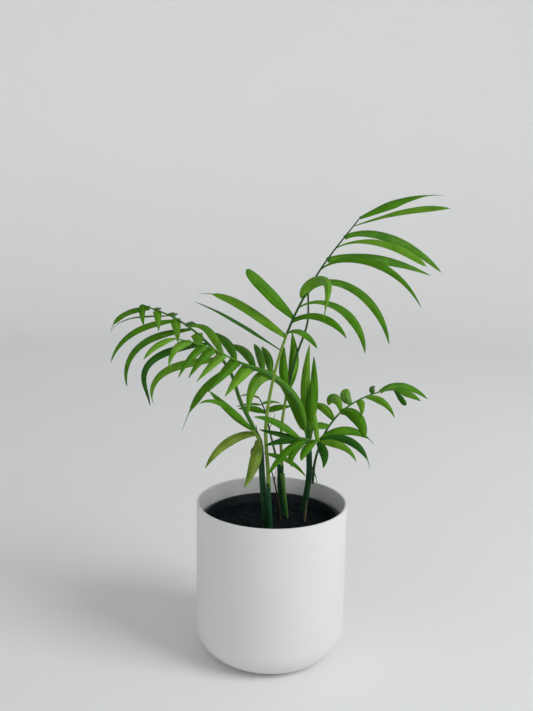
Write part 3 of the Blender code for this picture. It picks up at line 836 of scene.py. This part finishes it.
# Left frond. It leaves the top of the left cane and arches out over the rim to the plant's
# furthest side, with long leaflets hanging behind it and short ones towards the viewer.
left_route = [(-12.1, -16, 220.4), (-12.4, -16, 223), (-18, -12, 234), (-33, 3, 260), (-43, 12, 286),
              (-66, 24, 312), (-95, 38, 332), (-136, 56, 346)]
BROAD_STUB = {"base": 1.2, "widest": 0.15, "blunt": 1.2}
left_leaflets = [
    leaf(0.08, 180, 195, -25, -75, 82, 8, 0.7, widest=0.45, blunt=1.8, body=0.72),
    leaf(0.18, 165, 150, -10, -125, 106, 9, 3.0, blunt=2.0, body=0.94),
    leaf(0.34, 155, 380, -10, -85, 116, 8, 2.0, blunt=1.5),
    leaf(0.52, 165, 145, -10, -110, 113, 8, 2.0),
    leaf(0.65, 180, 165, -5, -75, 90, 7, 1.5),
    leaf(0.74, 150, 160, -5, -50, 79, 5, 3.0, FACE_UP, blunt=1.3),
    leaf(0.93, 170, 160, -10, -80, 55, 6, 2.0, base=0.8, blunt=4.0, body=0.82),
    leaf(0.47, -70, -80, -30, -25, 28, 11, 0.7, tone=2, **BROAD_STUB),
    leaf(0.69, -70, -80, -45, -45, 31, 10, 0.7, tone=2, **BROAD_STUB),
    leaf(0.86, -75, -80, -45, -40, 27, 8, 0.7, tone=2, **BROAD_STUB),
    leaf(1.00, -90, -65, -50, -45, 27, 7, base=0.7, widest=0.2, blunt=1.2),
    # The leaflets behind the rachis take the dark green, partly as painted shade.
    leaf(0.56, 75, 95, 25, -40, 34, 9, tone=0, base=0.6, blunt=2.4),
    leaf(0.74, 75, 100, 20, -40, 30, 9, tone=0, base=0.6, blunt=2.4),
    leaf(0.88, 80, 110, 15, -40, 26, 8, tone=0, base=0.6, blunt=2.4),
]
grow_frond("left", left_route, left_leaflets, green_stalk, foot=2.3, tip=0.6, tone=1, bare=0.35)

# Low spray. A short, ageing side frond at the top of the left cane, its hanging leaflets
# yellowing and mottled.
low_route = [(-11, -20.4, 219), (-15, -25, 231), (-20, -32, 240)]
low_leaflets = [
    leaf(1.00, 180, 195, 40, 45, 57, 8, 0.5, tone=1),
    leaf(0.96, 215, 230, 45, -20, 75, 6, 3.0, tone=1),
    leaf(0.71, 195, 235, 10, -45, 65, 9, 0.7, tone=3, base=0.5, blunt=1.5),
    leaf(0.30, 260, 235, -55, -40, 51, 11, tone=3, base=0.6, blunt=1.3),
]
grow_frond("low", low_route, low_leaflets, yellow_stalk, foot=1.5, tip=1.0, tone=1)

# Crossing leaflet. A single narrow leaflet on a bare twig that lies across the gap between
# the left and the middle cane.
crossing_route = [(-8.0, -16.8, 212), (-2, -14, 209), (6, -9, 204)]
crossing_leaflets = [
    leaf(0.00, 15, 15, 0, -55, 50, 5, 0.7),
]
grow_frond("crossing", crossing_route, crossing_leaflets, green_stalk, foot=0.8, tip=0.5, tone=2)

# Arching frond. From the top of the right cane it bends back over the whole clump; two
# folded blades hug its swollen lower stalk.
arch_route = [(34.2, 22.1, 216.6), (34.1, 22, 219), (32, 20, 230), (27, 15, 250), (16, 7, 269),
              (1, -3, 286), (-35, -18, 303), (-65, -32, 320), (-92, -42, 328)]
WIDE_ROOT = {"base": 1.2, "widest": 0.15, "blunt": 1.25, "lean": 0.2}
arch_leaflets = [
    leaf(0.00, 37, 37, -38, -78, 74, 13, tone=1, base=0.35, widest=0.6, blunt=3.0),
    leaf(0.02, 185, 255, 45, -90, 57, 12, 0.5, base=0.9, widest=0.3, blunt=1.2),
    leaf(0.26, 230, 240, -25, -30, 47, 12, 0.5, **WIDE_ROOT),
    leaf(0.40, 235, 235, -25, -30, 49, 11, **WIDE_ROOT),
    leaf(0.54, 235, 235, -20, -30, 44, 9, 0.5, **WIDE_ROOT),
    leaf(0.65, 230, 245, -25, -35, 43, 9, **WIDE_ROOT),
    leaf(0.73, 220, 245, -25, -45, 44, 8, **WIDE_ROOT),
    leaf(0.86, 195, 270, 5, -55, 40, 8, 0.7, base=0.6, widest=0.3, blunt=1.2),
    leaf(1.00, 200, 215, -5, -55, 36, 6),
    leaf(0.06, 90, 120, 25, 20, 47, 8, 1.5, tone=1, base=0.5, widest=0.5, blunt=2.2),
    leaf(0.14, 95, 115, 20, 20, 50, 8, 2.0, tone=1, base=0.5, widest=0.5, blunt=2.2),
    leaf(0.23, 105, 140, 25, 0, 52, 9, 1.5, tone=1, base=0.5, widest=0.5, blunt=2.2),
    leaf(0.42, 100, 135, 30, 10, 55, 9, tone=1, base=0.5, widest=0.5, blunt=1.8),
    leaf(0.55, 120, 170, 35, -35, 61, 8, 3.0),
]
grow_frond("arch", arch_route, arch_leaflets, blade_green, foot=1.2, tip=0.7, tone=2, bare=0.42, swell=3.8)

# Folded leaf bases lie along the first stretch of its rachis as a bundle of ridges.
ridges = [(-2.6, 1.4, blade_green), (-3.4, -0.9, green_stalk), (-1.6, -2.8, blade_green)]
for number, (off, drop, skin) in enumerate(ridges):
    route = smooth_route([
        (30, 18 + off * 0.6, 240 + drop * 0.5), (24, 12.5 + off, 257 + drop), (13, 5 + off, 273 + drop),
        (1, -3 + off, 285 + drop * 0.8), (-34, -17.5 + off * 0.4, 302.5 + drop * 0.4)])
    radii = taper(route, 0.4, 0.5, swell=2.1)
    stand(limb("fold_" + str(number), route, radii, skin, sides=12, lines=0.3), "petiole_green", "frond_arch")

# Spear. The youngest leaf of the right cane, bright green and still upright, its blades
# folded round one another on a short stout stalk.
spear_route = [(37.5, 23, 216.8), (37.5, 23, 219), (36, 24, 230), (34.5, 28, 262)]
spear_leaflets = [
    leaf(0.00, 165, 165, 78, 99, 95, 10, tone=2, base=0.5, widest=0.5, blunt=1.4),
    leaf(0.05, 40, 65, 78, 99, 81, 9, tone=1, base=0.5, widest=0.5, blunt=1.4),
    leaf(0.00, 290, 290, 84, 95, 62, 10, tone=1, base=0.5, widest=0.5, blunt=1.2),
]
grow_frond("spear", spear_route, spear_leaflets, green_stalk, foot=2.6, tip=1.4, tone=2)

# Fan frond. A soft young frond of the right cane that turns towards the viewer and spreads
# its leaflets to both sides.
fan_route = [(36.5, 18.3, 214.5), (40, 6, 219), (45, -8, 222), (38, -24, 228), (30, -36, 233),
             (24, -46, 236)]
fan_leaflets = [
    leaf(0.00, 15, 0, 45, -55, 64, 9, base=0.5, widest=0.45, blunt=1.8, body=0.86),
    leaf(0.02, -10, -35, 35, -80, 67, 8, base=0.35, widest=0.5, blunt=1.6, body=0.86),
    leaf(0.04, -30, -65, 10, -45, 50, 8, 1.5, base=0.4, widest=0.4, blunt=1.3),
    leaf(0.06, -60, -110, -25, -30, 36, 9, tone=0, base=0.6, widest=0.35, blunt=1.3),
    leaf(0.13, 115, 115, 70, 85, 32, 5, 2.0, tone=2, base=0.7),
    leaf(0.26, 235, 260, -5, -20, 40, 8, tone=1, base=0.5),
    leaf(0.55, 190, 200, 5, -20, 44, 7, 1.5),
    leaf(0.62, 210, 210, -15, -120, 35, 8, 1.5),
    leaf(0.74, 200, 200, -15, -60, 50, 7, 0.7),
    leaf(0.97, 190, 195, 40, 0, 51, 7, 2.0),
    leaf(1.00, 170, 175, 10, 10, 39, 5),
]
grow_frond("fan", fan_route, fan_leaflets, green_stalk, foot=1.3, tip=0.7, tone=1, bare=0.38)

# Right frond. A frond from lower on the right cane that rises beside it and nods over to
# the right, its leaflets short and mostly bright green.
right_route = [(41.8, 24.6, 168), (43, 21, 190), (46, 15, 207), (54, 15, 228), (67, 20, 244),
               (86, 30, 255), (114, 40, 263), (127, 46, 263)]
right_leaflets = [
    leaf(0.01, 225, 245, 20, -20, 31, 8, 1.5, base=0.5, blunt=1.5),
    leaf(0.10, 120, 160, 30, -40, 34, 9, 3.0, tone=2, base=0.4, widest=0.5, blunt=2.6),
    leaf(0.23, 110, 115, 55, -90, 39, 11, 1.5, tone=2, base=0.3, widest=0.6, blunt=2.0),
    leaf(0.38, 105, 60, 10, 20, 36, 11, 2.0, tone=2, base=0.35, widest=0.6, blunt=4.0),
    leaf(0.68, 95, 60, 30, -10, 22, 6),
    leaf(0.21, -20, -65, 60, -70, 46, 13, 0.5, tone=1, base=0.4, widest=0.45, blunt=1.6),
    leaf(0.51, -80, -105, -25, -25, 28, 8, tone=2, base=0.9, widest=0.15, blunt=1.1),
    leaf(0.59, -30, -60, 10, -55, 42, 8, tone=2, base=0.4, widest=0.4, blunt=1.2),
    leaf(0.78, 35, 15, 35, -45, 64, 8, 0.7, tone=1, base=0.5, widest=0.5, blunt=1.5),
    leaf(0.97, -50, -60, -30, -40, 22, 6, widest=0.6, blunt=3.0),
    leaf(1.00, 10, 5, -10, -40, 30, 8, base=0.4, blunt=1.5),
]
grow_frond("right", right_route, right_leaflets, green_stalk, foot=1.4, tip=0.6, tone=1, bare=0.42,
           low_skin=dark_stalk)

# Slender frond. A long thin upright stalk from the middle cane, with three narrow leaflets
# that stand beside it where its blade begins.
slender_route = [(9.4, 8.8, 191.5), (9.4, 8.7, 195), (8, 8, 219), (12, 12, 259), (22, 16, 303),
                 (32, 18, 336), (32, 18, 364)]
slender_leaflets = [
    leaf(0.04, 230, 230, 65, 100, 47, 9, base=0.7, widest=0.45, blunt=1.5),
    leaf(0.09, 40, 40, 50, 105, 56, 10, 0.5, base=0.6, widest=0.45, blunt=1.3),
    leaf(0.16, 20, 20, 62, 95, 34, 6, 0.6, base=0.4, widest=0.5, blunt=1.4),
]
grow_frond("slender", slender_route, slender_leaflets, dark_stalk, foot=1.6, tip=0.9, tone=1, bare=0.4,
           low_skin=yellow_stalk)

# Small frond. A short dark frond of the middle cane that points away from the viewer, with
# five small leaflets spread to both sides.
small_route = [(5.7, 12, 191.9), (5.6, 12, 194), (3, 14, 202), (-3, 28, 221), (-8, 55, 235),
               (-15, 88, 242)]
small_leaflets = [
    leaf(0.05, 165, 175, 25, -15, 30, 7),
    leaf(0.50, 150, 165, 10, -30, 32, 6, face=FACE_UP),
    leaf(1.00, 120, 135, 10, -30, 42, 6, face=FACE_UP),
    leaf(0.12, 10, 5, 25, -5, 28, 7),
    leaf(0.60, 60, 40, 10, -30, 34, 8, face=FACE_UP),
]
grow_frond("small", small_route, small_leaflets, dark_stalk, foot=1.2, tip=0.6, tone=1, bare=0.6)


# Dry ends. Withered shreds and threads that stay on the plant: torn lips of the old sheaths
# on the left and middle canes and the tall stalk, the fork of the dead stalk, a curled thread
# of the small frond and the tail of a sheath on the right cane.
dry_ends = [
    ("left_lip", dead_brown, "dry_brown", "stem_left", 1.1, 0.2,
     [(-12.2, -17.5, 217), (-14.7, -18, 230), (-16.7, -18, 241)]),
    ("hooked_shred", dark_stalk, "stem_green", "stem_left", 1.2, 0.3,
     [(-13, -17.5, 216), (-18.3, -20, 219), (-21.1, -21, 215), (-20.1, -21, 209)]),
    ("sheath_lip", dry_paper, "dry_brown", "petiole_tall", 0.9, 0.2,
     [(-5.0, -20.6, 176), (-3.9, -22.3, 186), (-2.5, -22, 197)]),
    ("middle_lip", dead_brown, "dry_brown", "stem_middle", 1.0, 0.3,
     [(11.5, 13.4, 160), (11.4, 11.4, 175), (9.6, 8.6, 192)]),
    ("stalk_fork", dead_brown, "dry_brown", "dead_stalk", 0.8, 0.2,
     [(4.9, 0.2, 166), (2.3, -2, 180), (3.6, -3, 192)]),
    ("curled_thread", dead_brown, "dry_brown", "frond_small", 0.35, 0.12,
     [(-3.2, 33, 223), (0, 24, 236), (1.4, 14, 243), (-1.6, 8, 247), (-4.3, 4, 243)]),
    ("sheath_tail", dark_stalk, "stem_green", "stem_right", 0.9, 0.25,
     [(38.6, 25, 188), (42.8, 24, 181), (45.1, 24, 174), (46.3, 24, 168)]),
]
for name, material, slot, node, foot, tip, points in dry_ends:
    route = smooth_route(points)
    stand(limb(name, route, taper(route, foot, tip), material, sides=10, lines=0.1), slot, node)


# Studio. A pale floor that curves up far off on every side, and soft light: a broad lamp from
# the right, a faint low one from the left, a weak one on the floor's far curve, and pale air
# all round.
FLOOR_PALE = (0.90, 0.905, 0.895)
FLOOR_DULL = (0.875, 0.88, 0.87)
FLOOR_MIDDLE = 1200.0
FLOOR_FLAT = 1900.0
FLOOR_SWEEP = 700.0
FLOOR_TOP = 1700.0
AIR_TINT = (0.95, 0.97, 1.0, 1)
AIR_LIGHT = 0.37

floor_grey, bench, place = paint("floor_grey", FLOOR_PALE, 0.7)
faint = bench.noise(place, scale=3.0, detail=3.0)
feed(bench, Base_Color=bench.blend(faint, FLOOR_DULL, FLOOR_PALE))
sweep = arc((FLOOR_FLAT, FLOOR_SWEEP), FLOOR_SWEEP, -90, 0, steps=16)
floor_outline = [(0.0, 0.0), (FLOOR_MIDDLE, 0.0), *sweep, (FLOOR_FLAT + FLOOR_SWEEP, FLOOR_TOP)]
floor = turned("studio_floor", floor_outline, floor_grey, segments=96)

# An open sheet has no outside of its own, so its faces are turned up here.
work = bmesh.new()
work.from_mesh(floor.data)
if sum(face.normal.z for face in work.faces) < 0:
    bmesh.ops.reverse_faces(work, faces=work.faces)
work.to_mesh(floor.data)
work.free()


def soft_light(name, place, towards, size, power, tint):
    """A square area light that looks towards a place, all in metres."""
    lamp = bpy.data.lights.new(name, "AREA")
    lamp.shape = "SQUARE"
    lamp.size = size
    lamp.energy = power
    lamp.color = tint
    made = put(name, lamp)
    made.location = place
    made.rotation_euler = (Vector(towards) - Vector(place)).to_track_quat("-Z", "Y").to_euler()


soft_light("window_light", place=(1.85, -1.0, 1.5), towards=(0, 0, 0.22), size=1.2, power=36.5,
           tint=(0.99, 0.99, 1.0))
soft_light("low_fill", place=(-1.3, -1.3, 0.28), towards=(0, 0, 0.1), size=0.9, power=3.6,
           tint=(0.99, 1.0, 0.93))
soft_light("far_wash", place=(0.2, 0.9, 1.75), towards=(0, 2.6, 0.7), size=1.2, power=2.6,
           tint=(1.0, 1.0, 1.0))
pale_air = bpy.data.worlds.new("pale_air")
pale_air.use_nodes = True
air = pale_air.node_tree.nodes["Background"]
air.inputs["Color"].default_value = AIR_TINT
air.inputs["Strength"].default_value = AIR_LIGHT
bpy.context.scene.world = pale_air
bpy.context.scene.view_settings.view_transform = "Standard"
